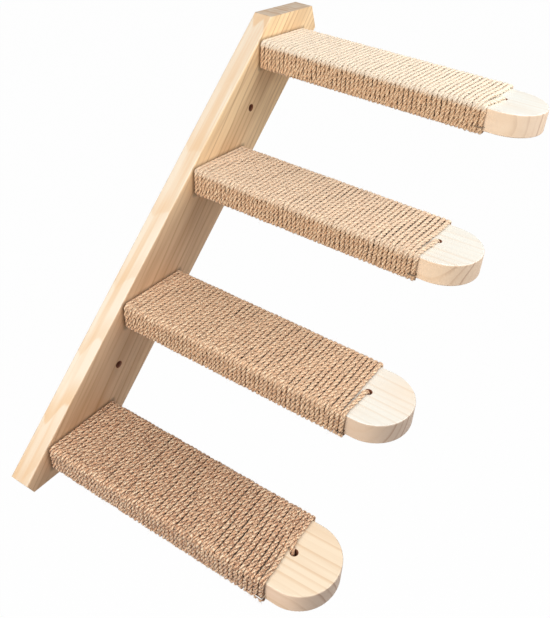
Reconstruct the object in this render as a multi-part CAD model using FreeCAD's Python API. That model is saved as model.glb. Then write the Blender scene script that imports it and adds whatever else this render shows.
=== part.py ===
import FreeCAD, Part
import math
import os
from FreeCAD import Vector

# A cat ladder for a wall: one slanting pine backboard carries four level treads,
# each wound with jute rope and rounded at its free end.
# Millimetres. +Z is up. The wall is the plane Y = 0 and the treads reach out towards -Y.
# The origin is on the wall, halfway between the two fixing holes.

# Backboard
BOARD_WIDTH = 98.0
BOARD_THICKNESS = 27.0
BOARD_SLOPE = 45.0
BOARD_EDGE_ROUND = 2.0
BOTTOM_CUT_DROP = 31.0
TOP_CUT_RISE = 43.0
BOTTOM_CORNER_CUT = 23.0
TOP_CORNER_CUT = 44.0
WALL_HOLE_DIAMETER = 9.5

# Treads
TREAD_COUNT = 4
TREAD_SPACING = 184.0
TREAD_WIDTH = 90.0
TREAD_THICKNESS = 27.0
TREAD_LENGTH = 361.0
TREAD_EDGE_ROUND = 1.5

# Jute rope round each tread
ROPE_DIAMETER = 5.2
ROPE_PITCH = 6.0
ROPE_SEAT_CLEARANCE = 0.2
WRAP_LENGTH = 306.0
LOOP_COUNT = 24
ROPE_HOLE_DIAMETER = 9.0
ROPE_HOLE_DEPTH = 16.0
ROPE_HOLE_GAP = 2.0
TAIL_BEND_RADIUS = 6.0
TAIL_SET_BACK = 0.5
START_INSET = 8.0
BACKWARD_WOUND_TREAD = 1

# Countersunk screws, two through the board into the end of each tread
SCREW_DIAMETER = 5.0
SCREW_LENGTH = 70.0
SCREW_POINT_LENGTH = 7.0
SCREW_HEAD_DIAMETER = 9.5
SCREW_HEAD_SINK = 1.0
SCREW_SPACING = 50.0
SCREW_CLEARANCE = 0.1
DRIVE_SLOT_WIDTH = 1.2
DRIVE_SLOT_LENGTH = 5.0
DRIVE_SLOT_DEPTH = 2.0

# Staple over the outermost turn, low on the near side of each tread
STAPLE_WIRE = 0.6
STAPLE_LEG_DEPTH = 8.0
STAPLE_HEIGHT = 5.0
STAPLE_CLEARANCE = 0.1

ROPE_RADIUS = ROPE_DIAMETER / 2
ROPE_STANDOFF = ROPE_SEAT_CLEARANCE + ROPE_RADIUS
FLAT_REACH = TREAD_WIDTH / 2 - TREAD_EDGE_ROUND
STEP_WAY = Vector(-2 * FLAT_REACH, -ROPE_PITCH, 0).normalize()
SLOPE = math.radians(BOARD_SLOPE)
ALONG = Vector(math.cos(SLOPE), 0, math.sin(SLOPE))
ACROSS = Vector(-math.sin(SLOPE), 0, math.cos(SLOPE))
UP = Vector(0, 0, 1)
TO_FAR_SIDE = Vector(1, 0, 0)
TO_WALL = Vector(0, 1, 0)


def board_point(along, across):
    return ALONG * along + ACROSS * across


def tread_station(number):
    """Distance along the board from the origin to the middle of a tread."""
    return (number - (TREAD_COUNT + 1) / 2) * TREAD_SPACING


def tread_root(number):
    """Middle of the tread's square end, on the front face of the board."""
    return board_point(tread_station(number), 0) + Vector(0, -BOARD_THICKNESS, 0)


def screw_places(number):
    """Where the two screws of a tread pass through the back face of the board."""
    middle = board_point(tread_station(number), 0)
    return [middle + TO_FAR_SIDE * (side * SCREW_SPACING / 2) for side in (-1, 1)]


def wall_hole_places():
    """Midway between the first two treads and between the last two."""
    first = tread_station(1) + TREAD_SPACING / 2
    last = tread_station(TREAD_COUNT) - TREAD_SPACING / 2
    return [board_point(first, 0), board_point(last, 0)]


def board_outline():
    """A strip on the slope with level ends, whose two sharp corners are cut off evenly."""
    half = BOARD_WIDTH / 2
    bottom = tread_root(1).z - BOTTOM_CUT_DROP
    top = tread_root(TREAD_COUNT).z + TOP_CUT_RISE

    def edge_point(height, across):
        along = (height - across * math.cos(SLOPE)) / math.sin(SLOPE)
        return board_point(along, across)

    sharp_bottom = edge_point(bottom, half)
    sharp_top = edge_point(top, -half)
    return [
        sharp_bottom + ALONG * BOTTOM_CORNER_CUT,
        sharp_bottom + TO_FAR_SIDE * BOTTOM_CORNER_CUT,
        edge_point(bottom, -half),
        sharp_top - ALONG * TOP_CORNER_CUT,
        sharp_top - TO_FAR_SIDE * TOP_CORNER_CUT,
        edge_point(top, half),
    ]


def runs_along_board(edge):
    start, end = [vertex.Point for vertex in edge.Vertexes]
    return abs((end - start).normalize().dot(ALONG)) > 0.999


def make_backboard():
    corners = board_outline()
    face = Part.Face(Part.makePolygon(corners + corners[:1]))
    board = face.extrude(Vector(0, -BOARD_THICKNESS, 0))
    long_edges = [edge for edge in board.Edges if runs_along_board(edge)]
    board = board.makeFillet(BOARD_EDGE_ROUND, long_edges)
    for place in wall_hole_places():
        board = board.cut(Part.makeCylinder(WALL_HOLE_DIAMETER / 2, BOARD_THICKNESS, place, -TO_WALL))
    for number in range(1, TREAD_COUNT + 1):
        for place in screw_places(number):
            board = board.cut(screw_hole().translated(place))
    return board


def screw_head_height():
    """A 90 degree countersunk head is as high as its rim stands out from the shank."""
    return (SCREW_HEAD_DIAMETER - SCREW_DIAMETER) / 2


def screw_body(growth):
    """The turned form of a screw that enters at the origin and points to -Y, grown all round."""
    shank = SCREW_DIAMETER / 2 + growth
    rim = SCREW_HEAD_DIAMETER / 2 + growth
    sink = SCREW_HEAD_SINK
    neck = sink + screw_head_height()
    tip = sink + SCREW_LENGTH
    points = [
        Vector(0, -sink, 0),
        Vector(rim, -sink, 0),
        Vector(shank, -neck, 0),
        Vector(shank, -(tip - SCREW_POINT_LENGTH), 0),
        Vector(0, -tip - growth, 0),
    ]
    half_section = Part.Face(Part.makePolygon(points + points[:1]))
    return half_section.revolve(Vector(0, 0, 0), TO_WALL, 360)


def screw_hole():
    """The room that a screw takes, open to the back face of the board."""
    mouth = Part.makeCylinder(SCREW_HEAD_DIAMETER / 2 + SCREW_CLEARANCE, SCREW_HEAD_SINK,
                              Vector(0, 0, 0), -TO_WALL)
    return screw_body(SCREW_CLEARANCE).fuse(mouth).removeSplitter()


def make_screw():
    """A screw with a crossed drive recess in its head."""
    screw = screw_body(0)
    for turn in (0, 90):
        slot = Part.makeBox(DRIVE_SLOT_LENGTH, DRIVE_SLOT_DEPTH, DRIVE_SLOT_WIDTH,
                            Vector(-DRIVE_SLOT_LENGTH / 2, -SCREW_HEAD_SINK - DRIVE_SLOT_DEPTH,
                                   -DRIVE_SLOT_WIDTH / 2))
        slot.rotate(Vector(0, 0, 0), TO_WALL, turn)
        screw = screw.cut(slot)
    return screw


def rope_hole_place():
    """Middle of the rope's hole on the upper face of a tread whose root is at the origin."""
    return Vector(0, -(WRAP_LENGTH + ROPE_HOLE_GAP), TREAD_THICKNESS / 2)


def near_side_station(backward):
    """Distance from the board to the outermost turn that lies on the near side of a tread."""
    return turn_station(LOOP_COUNT - 2 if backward else LOOP_COUNT - 1)


def staple_legs(growth, outer_x):
    """Both legs of a staple, grown all round, from outer_x to their points in the tread."""
    thickness = STAPLE_WIRE + 2 * growth
    point_x = -TREAD_WIDTH / 2 + STAPLE_LEG_DEPTH + growth
    return [Part.makeBox(point_x - outer_x, thickness, thickness,
                         Vector(outer_x, side * ROPE_PITCH / 2 - thickness / 2, -thickness / 2))
            for side in (-1, 1)]


def staple_place(backward):
    """Middle of the staple's crown, seen in plan on the line through its two legs."""
    return Vector(0, -near_side_station(backward), -TREAD_THICKNESS / 2 + STAPLE_HEIGHT)


def make_staple():
    """A staple whose legs straddle one turn of rope and enter the near side of the tread."""
    crown_in = -(TREAD_WIDTH / 2 + ROPE_SEAT_CLEARANCE + ROPE_DIAMETER + STAPLE_CLEARANCE)
    crown_out = crown_in - STAPLE_WIRE
    span = ROPE_PITCH + STAPLE_WIRE
    crown = Part.makeBox(STAPLE_WIRE, span, STAPLE_WIRE, Vector(crown_out, -span / 2, -STAPLE_WIRE / 2))
    for leg in staple_legs(0, crown_out):
        crown = crown.fuse(leg)
    return crown.removeSplitter()


def make_tread(backward):
    """A plank with a half-round free end. Its root is at the origin and it points to -Y."""
    half = TREAD_WIDTH / 2
    shoulder = -(TREAD_LENGTH - half)
    outline = Part.Wire([
        Part.makeLine(Vector(half, 0, 0), Vector(-half, 0, 0)),
        Part.makeLine(Vector(-half, 0, 0), Vector(-half, shoulder, 0)),
        Part.Arc(Vector(-half, shoulder, 0), Vector(0, -TREAD_LENGTH, 0),
                 Vector(half, shoulder, 0)).toShape(),
        Part.makeLine(Vector(half, shoulder, 0), Vector(half, 0, 0)),
    ])
    tread = Part.Face(outline).extrude(UP * TREAD_THICKNESS)
    tread.translate(UP * (-TREAD_THICKNESS / 2))
    rims = [edge for edge in tread.Edges
            if edge.BoundBox.ZLength < 0.001 and edge.BoundBox.YMin < -0.001]
    tread = tread.makeFillet(TREAD_EDGE_ROUND, rims)
    tread = tread.cut(Part.makeCylinder(ROPE_HOLE_DIAMETER / 2, ROPE_HOLE_DEPTH,
                                        rope_hole_place(), -UP))
    for side in (-1, 1):
        place = Vector(side * SCREW_SPACING / 2, BOARD_THICKNESS, 0)
        tread = tread.cut(screw_body(SCREW_CLEARANCE).translated(place))
    for leg in staple_legs(STAPLE_CLEARANCE, -TREAD_WIDTH / 2):
        tread = tread.cut(leg.translated(staple_place(backward)))
    return tread


def biarc(start, start_way, end, end_way):
    """Two arcs that leave start along start_way and reach end along end_way."""
    chord = end - start
    ways = start_way + end_way
    spread = 2 * (1 - start_way.dot(end_way))
    reach = chord.dot(ways)
    arm = chord.dot(chord) / (reach + math.sqrt(reach * reach + spread * chord.dot(chord)))
    joint = (start + end + (start_way - end_way) * arm) * 0.5
    return [arc_from(start, start_way, joint), arc_from(end, end_way * -1, joint)]


def arc_from(start, way, end):
    """The arc that leaves start along way and ends at end."""
    chord = end - start
    along_chord = Vector(chord).normalize()
    bulge = way - along_chord * way.dot(along_chord)
    half_angle = math.atan2(bulge.Length, way.dot(along_chord)) / 2
    height = chord.Length / 2 * math.tan(half_angle)
    middle = start + chord * 0.5 + bulge.normalize() * height
    return Part.Arc(start, middle, end).toShape()


def turn_station(turn):
    """Distance from the board to the middle of a modelled turn, counted from 0."""
    last = WRAP_LENGTH - ROPE_RADIUS
    return last - (LOOP_COUNT - 1 - turn) * ROPE_PITCH


def rope_route():
    """Centre line of the turns next to the free end, and the tail into its hole.

    Every turn lies square across the upper face and the sides, and steps out by
    one pitch on the way across the lower face, where it doesn't show.
    """
    side_x = TREAD_WIDTH / 2 + ROPE_STANDOFF
    face_z = TREAD_THICKNESS / 2 + ROPE_STANDOFF
    flat_z = TREAD_THICKNESS / 2 - TREAD_EDGE_ROUND
    edges = []
    here = rope_start()
    for turn in range(LOOP_COUNT):
        out = -turn_station(turn)
        bottom_near = Vector(-FLAT_REACH, out, -face_z)
        near_low = Vector(-side_x, out, -flat_z)
        near_high = Vector(-side_x, out, flat_z)
        top_near = Vector(-FLAT_REACH, out, face_z)
        edges.append(Part.makeLine(here, bottom_near))
        edges += biarc(bottom_near, STEP_WAY, near_low, UP)
        edges.append(Part.makeLine(near_low, near_high))
        edges += biarc(near_high, UP, top_near, TO_FAR_SIDE)
        if turn < LOOP_COUNT - 1:
            top_far = Vector(FLAT_REACH, out, face_z)
            far_high = Vector(side_x, out, flat_z)
            far_low = Vector(side_x, out, -flat_z)
            here = Vector(FLAT_REACH, out, -face_z)
            edges.append(Part.makeLine(top_near, top_far))
            edges += biarc(top_far, TO_FAR_SIDE, far_high, -UP)
            edges.append(Part.makeLine(far_high, far_low))
            edges += biarc(far_low, -UP, here, STEP_WAY)
    return Part.Wire(Part.sortEdges(edges + rope_tail(top_near))[0])


def rope_tail(top_near):
    """From the last turn over half of the upper face, out to the hole and down into it."""
    tail_top = rope_hole_place() + TO_FAR_SIDE * TAIL_SET_BACK
    tail_top.z = top_near.z
    bend_start = tail_top - TO_FAR_SIDE * TAIL_BEND_RADIUS
    bend_end = tail_top - UP * TAIL_BEND_RADIUS
    tail_end = Vector(tail_top.x, tail_top.y, TREAD_THICKNESS / 2 - ROPE_HOLE_DEPTH)
    edges = biarc(top_near, TO_FAR_SIDE, bend_start, TO_FAR_SIDE)
    edges.append(arc_from(bend_start, TO_FAR_SIDE, bend_end))
    edges.append(Part.makeLine(bend_end, tail_end))
    return edges


def rope_start():
    """Where the modelled turns leave the plain part of the winding, on the lower face."""
    near_end = Vector(-FLAT_REACH, -turn_station(0), -(TREAD_THICKNESS / 2 + ROPE_STANDOFF))
    return near_end - STEP_WAY * (2 * FLAT_REACH - START_INSET)


def make_rope():
    """The turns next to the free end, as one unbroken tube."""
    route = rope_route()
    section = Part.Wire([Part.makeCircle(ROPE_RADIUS, rope_start(), STEP_WAY)])
    rope = route.makePipeShell([section], True, False)
    print("rope length %.0f mm, least gap to itself %.2f mm" % (route.Length, least_gap(route)))
    return rope


def least_gap(route):
    """Smallest room between one turn and the next, measured on evenly spaced points."""
    spacing = 2.0
    points = route.discretize(Number=int(route.Length / spacing))
    half_turn = int((TREAD_WIDTH + TREAD_THICKNESS) / spacing)
    nearest = min(points[i].distanceToPoint(points[j])
                  for i in range(len(points) - half_turn)
                  for j in range(i + half_turn, min(i + 3 * half_turn, len(points))))
    return nearest - ROPE_DIAMETER


def rounded_bar(growth, length):
    """The tread's section grown all round, as a bar from the root towards the free end."""
    width = TREAD_WIDTH + 2 * growth
    height = TREAD_THICKNESS + 2 * growth
    bar = Part.makeBox(width, length, height, Vector(-width / 2, -length, -height / 2))
    corners = [edge for edge in bar.Edges if edge.BoundBox.YLength > length - 0.001]
    return bar.makeFillet(TREAD_EDGE_ROUND + growth, corners)


def make_wrap():
    """The turns next to the board, as a plain sleeve with a step that the rope leaves."""
    length = turn_station(0) - ROPE_PITCH / 2
    outside = rounded_bar(ROPE_SEAT_CLEARANCE + ROPE_DIAMETER, length)
    inside = rounded_bar(ROPE_SEAT_CLEARANCE, length)
    room = Part.makeBox(TREAD_WIDTH + 2 * ROPE_STANDOFF, 2 * ROPE_PITCH, 2 * ROPE_DIAMETER)
    room.translate(Vector(-room.BoundBox.XLength, -3 * ROPE_PITCH / 2,
                          ROPE_RADIUS - 2 * ROPE_DIAMETER))
    room.rotate(Vector(0, 0, 0), UP, math.degrees(math.atan2(STEP_WAY.y, STEP_WAY.x)) + 180)
    return outside.cut(inside).cut(room.translated(rope_start()))


def mirrored(shape):
    """The same winding laid the other way round the tread."""
    return shape.mirror(Vector(0, 0, 0), TO_FAR_SIDE)


def save(shape, name):
    shape.exportStep("parts/%s.step" % name)


def main():
    os.makedirs("parts", exist_ok=True)
    save(make_backboard(), "backboard")
    wrap = make_wrap()
    rope = make_rope()
    screw = make_screw()
    staple = make_staple()
    for number in range(1, TREAD_COUNT + 1):
        root = tread_root(number)
        backward = number == BACKWARD_WOUND_TREAD
        save(make_tread(backward).translated(root), "tread_%d" % number)
        save((mirrored(wrap) if backward else wrap).translated(root), "jute_wrap_%d" % number)
        save((mirrored(rope) if backward else rope).translated(root), "jute_rope_%d" % number)
        save(staple.translated(root + staple_place(backward)), "rope_staple_%d" % number)
        for side, place in zip(("left", "right"), screw_places(number)):
            save(screw.translated(place), "tread_screw_%d_%s" % (number, side))


main()
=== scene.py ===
# %% [markdown]
# # A cat ladder for a wall, in pine and jute
# Four level treads stand out from one slanting backboard. Each tread is wound with
# jute rope, and its bare end is rounded. The solids come from a finished CAD model.
# This lesson keeps the planks and screws, gives them real finishes, and winds a rope of
# three strands in the place of the plain winding.

import math

import bpy
import numpy as np
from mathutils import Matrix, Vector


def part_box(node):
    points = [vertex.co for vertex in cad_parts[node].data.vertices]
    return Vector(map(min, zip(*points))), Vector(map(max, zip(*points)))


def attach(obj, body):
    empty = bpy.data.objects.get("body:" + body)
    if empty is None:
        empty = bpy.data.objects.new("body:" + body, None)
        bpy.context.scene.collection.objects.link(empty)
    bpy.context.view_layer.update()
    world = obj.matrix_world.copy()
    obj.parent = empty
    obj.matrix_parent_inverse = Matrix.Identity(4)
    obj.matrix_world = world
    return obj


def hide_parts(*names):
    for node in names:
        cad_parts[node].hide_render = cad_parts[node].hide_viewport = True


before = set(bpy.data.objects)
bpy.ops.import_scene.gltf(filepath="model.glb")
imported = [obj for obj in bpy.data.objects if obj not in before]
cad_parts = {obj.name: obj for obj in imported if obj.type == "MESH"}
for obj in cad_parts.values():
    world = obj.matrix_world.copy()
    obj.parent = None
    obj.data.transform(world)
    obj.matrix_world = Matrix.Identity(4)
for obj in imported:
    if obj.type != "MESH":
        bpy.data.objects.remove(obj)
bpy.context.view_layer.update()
BODY = "root"
MM = 0.001
TREADS = (1, 2, 3, 4)

# %% [markdown]
# The camera stands to the left of the ladder and above it, and looks down along the
# treads. It is about as far from each of the four, so they look equally large, and it is
# near enough that each tread looks narrower towards the board. A long lens from further
# away would make their sides look parallel.

# %% Set the camera
CAMERA_PLACE = (-0.57039, -0.53989, 0.45862)
CAMERA_TURN = (55.2851, -6.1312, -60.0850)
LENS = 39.695
SENSOR_WIDTH = 36
LENS_SHIFT = (-0.12192, -0.03904)
NEAREST_SEEN = 0.01
lens_data = bpy.data.cameras.new("camera")
lens_data.lens = LENS
lens_data.sensor_width = SENSOR_WIDTH
lens_data.shift_x = LENS_SHIFT[0]
lens_data.shift_y = LENS_SHIFT[1]
lens_data.clip_start = NEAREST_SEEN
camera = bpy.data.objects.new("camera", lens_data)
camera.location = CAMERA_PLACE
camera.rotation_euler = [math.radians(angle) for angle in CAMERA_TURN]
bpy.context.scene.collection.objects.link(camera)
bpy.context.scene.camera = camera
for number in TREADS:
    low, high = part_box("tread_%d" % number)
    distance = (camera.location - (low + high) / 2).length
    print("tread %d is %.2f m from the camera" % (number, distance))

# %% [markdown]
# Pale wood on a white ground needs soft light from several sides. The strongest soft box
# hangs above and to the left, so tops are brightest. A weak one at the left lifts the
# near sides, one in front lifts the rounded ends, and a small one above the highest tread
# makes it the palest. A sun would be simpler, but its shadows have hard edges.

# %% Light the studio
# Each lamp's place, the point that it shines at, its width in metres and its watts.
LAMPS = {
    "soft_box_left": ((-1.20, -0.10, 1.00), (0.0, -0.05, 0.0), 1.0, 14.6),
    "soft_box_side": ((-1.40, 0.00, 0.15), (0.0, -0.20, 0.0), 1.0, 5.0),
    "soft_box_front": ((0.50, -1.20, 0.60), (0.1, -0.30, 0.10), 0.8, 9.8),
    "soft_box_above": ((0.25, -0.75, 0.95), (0.15, -0.25, 0.15), 0.6, 2.7),
}


def hang_lamp(name, place, aim, width, power):
    """A square lamp at place whose -Z axis points along aim - place."""
    data = bpy.data.lights.new(name, "AREA")
    data.size = width
    data.energy = power
    lamp = bpy.data.objects.new(name, data)
    lamp.location = place
    way = Vector(aim) - Vector(place)
    lamp.rotation_euler = way.to_track_quat("-Z", "Y").to_euler()
    bpy.context.scene.collection.objects.link(lamp)


for lamp_name, lamp_facts in LAMPS.items():
    hang_lamp(lamp_name, *lamp_facts)
bpy.context.scene.view_settings.view_transform = "Standard"
print("%d soft boxes of %.1f watts in all" % (len(LAMPS), sum(facts[3] for facts in LAMPS.values())))

# %% [markdown]
# Shader maths is easier to read as a formula than as a drawing of nodes. This small
# class wraps one output socket. Adding or multiplying two of them adds a Math node, and
# `add` makes a node of any other kind.

# %% A socket that can be used in formulas
class Signal:
    """One output socket of a node tree, with the operators that formulas need."""

    def __init__(self, tree, plug=None):
        self.tree = tree
        self.plug = plug

    def add(self, kind, settings=None, inputs=None, output=0):
        """A node of any kind: its settings first, then its sockets' values or links."""
        node = self.tree.nodes.new(kind)
        for name, value in (settings or {}).items():
            setattr(node, name, value)
        for key, value in (inputs or {}).items():
            if isinstance(value, Signal):
                self.tree.links.new(value.plug, node.inputs[key])
            else:
                node.inputs[key].default_value = value
        return Signal(self.tree, node.outputs[output])

    def math(self, operation, *values):
        return self.add("ShaderNodeMath", {"operation": operation}, dict(enumerate(values)))

    def __add__(self, other):
        return self.math("ADD", self, other)

    def __radd__(self, other):
        return self.math("ADD", other, self)

    def __sub__(self, other):
        return self.math("SUBTRACT", self, other)

    def __rsub__(self, other):
        return self.math("SUBTRACT", other, self)

    def __mul__(self, other):
        return self.math("MULTIPLY", self, other)

    def __rmul__(self, other):
        return self.math("MULTIPLY", other, self)

    def __truediv__(self, other):
        return self.math("DIVIDE", self, other)

    def __pow__(self, other):
        return self.math("POWER", self, other)

    def __abs__(self):
        return self.math("ABSOLUTE", self)

    def floor(self):
        return self.math("FLOOR", self)

    def fraction(self):
        return self.math("FRACT", self)

    def at_least(self, other):
        return self.math("MAXIMUM", self, other)

    def ramp_up(self, low, high):
        """0 below low, 1 above high, and a smooth step between."""
        return self.add("ShaderNodeMapRange", {"interpolation_type": "SMOOTHSTEP"},
                        {0: self, 1: low, 2: high, 3: 0.0, 4: 1.0})

    def noise(self, squeeze, detail=2.0, roughness=0.5):
        """Smooth noise from 0 to 1 on this vector, which is multiplied by squeeze first."""
        place = self.add("ShaderNodeVectorMath", {"operation": "MULTIPLY"},
                         {0: self, 1: squeeze})
        return self.add("ShaderNodeTexNoise", {"noise_dimensions": "3D"},
                        {"Vector": place, "Scale": 1.0, "Detail": detail,
                         "Roughness": roughness})

    def blend(self, first, second):
        """first where this signal is 0, and second where it is 1, as colours."""
        return self.add("ShaderNodeMix", {"data_type": "RGBA", "clamp_factor": True},
                        {0: self, 6: first, 7: second}, output=2)

    def split(self):
        """The X, Y and Z of this vector as three signals."""
        return [self.add("ShaderNodeSeparateXYZ", None, {0: self}, output=axis)
                for axis in range(3)]

    def here(self):
        """The place of each point in Object coordinates, in metres."""
        return self.add("ShaderNodeTexCoord", output=3)

    def facing(self, way):
        """How squarely the surface faces along way: the dot product with its normal."""
        normal = self.add("ShaderNodeNewGeometry", output=1)
        return self.add("ShaderNodeVectorMath", {"operation": "DOT_PRODUCT"},
                        {0: normal, 1: way}, output=1)

    def bump(self, strength, distance, height):
        """The normal that a relief of this height gives, with distance in metres."""
        return self.add("ShaderNodeBump", None,
                        {"Strength": strength, "Distance": distance, "Height": height})


print("formulas may use + - * / ** and abs()")


# %% Colours and materials
def paint(red, green, blue):
    """A colour as a paint chart gives it, 0 to 255, made linear.

    With c from 0 to 1 it is ((c + 0.055) / 1.055) ** 2.4, or c / 12.92 below 0.04045.
    """
    parts = [value / 255 for value in (red, green, blue)]
    linear = [part / 12.92 if part <= 0.04045 else ((part + 0.055) / 1.055) ** 2.4
              for part in parts]
    return (*linear, 1.0)


def new_material(name):
    """A material, a Signal to start formulas with, and its Principled shader."""
    material = bpy.data.materials.new(name)
    material.use_nodes = True
    tree = material.node_tree
    return material, Signal(tree), tree.nodes["Principled BSDF"]


def wire(shader, key, signal):
    """Links a signal to one of the shader's sockets."""
    signal.tree.links.new(signal.plug, shader.inputs[key])


print("a chart's middle grey of 128 is %.3f in a linear scale" % paint(128, 128, 128)[0])

# %% [markdown]
# Pine is a solid pattern, so its grain is worked out in space and not on the skin. A
# year ring is a cylinder round the tree's heart, pale for most of its width and darker
# at its outer edge. Wherever a plank's face cuts those cylinders, the right figure
# appears by itself: long lines on the flat faces, and arcs on sawn ends. An image of
# wood wrapped round a plank would have no arcs, and its lines would break at the edges.

# %% The colours and the scale of pine
LATE_WOOD = paint(216, 176, 132)
PALE_LATE_WOOD = paint(226, 182, 136)
WARM_WOOD = paint(240, 208, 172)
# The board's front, low and high: partly its own warmer colour, partly painted shade below and
# painted light above.
FACE_SHADED_LOW = paint(226, 188, 150)
FACE_LIT_HIGH = paint(255, 222, 174)
FACE_LATE = paint(176, 128, 84)
END_WOOD = paint(190, 170, 154)
END_LATE = paint(150, 108, 84)
# Inside bores: browner wood, partly painted shade.
BORE_BROWN_AND_SHADE = paint(150, 88, 62)
# Painted shade: the dark brown round the treads' seats on the board, and on the wood under the
# ropes.
PAINTED_SHADE_BROWN = paint(72, 50, 34)
# How noise is squeezed in a plank: waves for each metre, twice across it and once along it.
SWAY_SQUEEZE = (14, 14, 5)
WANDER_SQUEEZE = (40, 40, 2)
PATCH_SQUEEZE = (12, 12, 4)
BAND_SQUEEZE = (70, 70, 2.5)
FIBRE_SQUEEZE = (900, 900, 14)
# How far the heart sways across the plank, in metres.
SWAY = (0.005, 0.004)
print("wood fibres show as streaks about %.1f mm wide" % (1 / FIBRE_SQUEEZE[0] / MM))

# %% Year rings
# The turns about X, Y and Z, in degrees, that bring a plank's length to Z.
TREAD_ANGLES = (90, 0, 0)
BOARD_ANGLES = (0, -45, 0)


def plank_turn(angles):
    """The matrix that turns a plank's length to Z: about X first, then Y, then Z."""
    spin = Matrix.Identity(3)
    for axis, angle in zip("XYZ", angles):
        spin = Matrix.Rotation(math.radians(angle), 3, axis) @ spin
    return spin


def plank_space(start, centre, angles, heart):
    """Object coordinates turned so that Z runs along the plank, with the heart at X = Y = 0."""
    shift = -(plank_turn(angles) @ Vector(centre)) - Vector((*heart, 0))
    return start.add("ShaderNodeMapping", {"vector_type": "POINT"}, {
        "Vector": start.here(), "Location": shift,
        "Rotation": [math.radians(angle) for angle in angles]})


def year_rings(space, plank):
    """How far through its year the wood grew, from 0 to 1, and one random number a year.

    The year is r / ring, with r = sqrt(x^2 + y^2) the distance from the heart, which
    leans and sways along the plank. Noise lets each ring wander.
    """
    x, y, z = space.split()
    sway = space.noise(SWAY_SQUEEZE) - 0.5
    x = x + z * plank["lean"][0] + sway * SWAY[0]
    y = y + z * plank["lean"][1] + sway * SWAY[1]
    reach = (x * x + y * y) ** 0.5
    year = reach / plank["ring"] + space.noise(WANDER_SQUEEZE, detail=1.0) * plank["wander"]
    strength = space.add("ShaderNodeTexWhiteNoise", {"noise_dimensions": "1D"},
                         {"W": year.floor()})
    return year.fraction(), strength


print("the board runs along", [round(value, 3) for value in plank_turn(BOARD_ANGLES).row[2]])

# %% Sawn ends, bores and painted shade
# Half the size of the rectangle that a tread and its rope cover on the board, how far the
# painted shadow spreads round it, and the depths in Y between which that painted shadow ends.
SEAT_HALF = (0.0488, 0.0170)
SEAT_SHADOW_REACH = 0.006
SEAT_SHADOW_DEPTHS = (-0.0268, -0.0255)
BORE_EDGE = 0.4 * MM


def sawn_end(wood, endness, plank, part, strength):
    """Blends in the greyer end grain, and the dark edge of each year's arc."""
    wood = (endness * plank["grey"]).blend(wood, END_WOOD)
    ring_edge = part.ramp_up(0.6, 0.9) * (1 - part.ramp_up(0.93, 1.0)) * strength
    return (endness * ring_edge * plank["end"]).blend(wood, END_LATE)


def bore_tint_and_shade(wood, spot, places, axis, radius):
    """Browns the wood within radius of each line through places along axis, Y or Z: partly a bore's
    browner wood, partly painted shade inside it.
    """
    first, second = (spot[0], spot[2]) if axis == "Y" else (spot[0], spot[1])
    for place in places:
        gap = ((first - place[0]) ** 2.0 + (second - place[1]) ** 2.0) ** 0.5
        inside = 1 - gap.ramp_up(radius, radius + BORE_EDGE)
        wood = (inside * 0.9).blend(wood, BORE_BROWN_AND_SHADE)
    return wood


def painted_seat_shadow(wood, spot, seat):
    """Paints shadow on the board's front round a tread's seat, by the distance from its rectangle:
    painted shade where the tread and rope meet the board.
    """
    beyond_x = (abs(spot[0] - seat[0]) - SEAT_HALF[0]).at_least(0.0)
    beyond_z = (abs(spot[2] - seat[1]) - SEAT_HALF[1]).at_least(0.0)
    near = 1 - ((beyond_x ** 2.0 + beyond_z ** 2.0) ** 0.5).ramp_up(0.0, SEAT_SHADOW_REACH)
    near = near * (1 - spot[1].ramp_up(*SEAT_SHADOW_DEPTHS))
    return (near * 0.5).blend(wood, PAINTED_SHADE_BROWN)


# The reach printed here is that of the painted shadow round each seat.
print("dust spreads %.0f mm round each seat" % (SEAT_SHADOW_REACH / MM))

# %% Pine
# The heights between which the board's front turns paler, as painted light, and its foot stops being
# dark.
FACE_LIGHT_HEIGHTS = (-0.03, 0.15)
FOOT_ENDS = (-0.30, -0.14)


def board_face(wood, start, spot, late, band, plank):
    """Darkens the board's foot, then blends in the front's colour with stronger lines.

    The front is darker and warmer below and paler above: partly its own colour, partly painted shade
    and painted bounce light from the treads below, and painted light above.
    """
    # Darker low down and paler high up: painted shade and painted light.
    front_grain_and_light = spot[2].ramp_up(*FACE_LIGHT_HEIGHTS).blend(FACE_SHADED_LOW, FACE_LIT_HIGH)
    front_grain_and_light = (band * 0.30).blend(front_grain_and_light, FACE_LATE)
    front_grain_and_light = (late * 0.8).blend(front_grain_and_light, FACE_LATE)
    wood = ((1 - spot[2].ramp_up(*FOOT_ENDS)) * 0.50).blend(wood, LATE_WOOD)
    return (abs(start.facing((0, 1, 0))).ramp_up(0.5, 0.9) * plank["face"]).blend(wood, front_grain_and_light)


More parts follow.
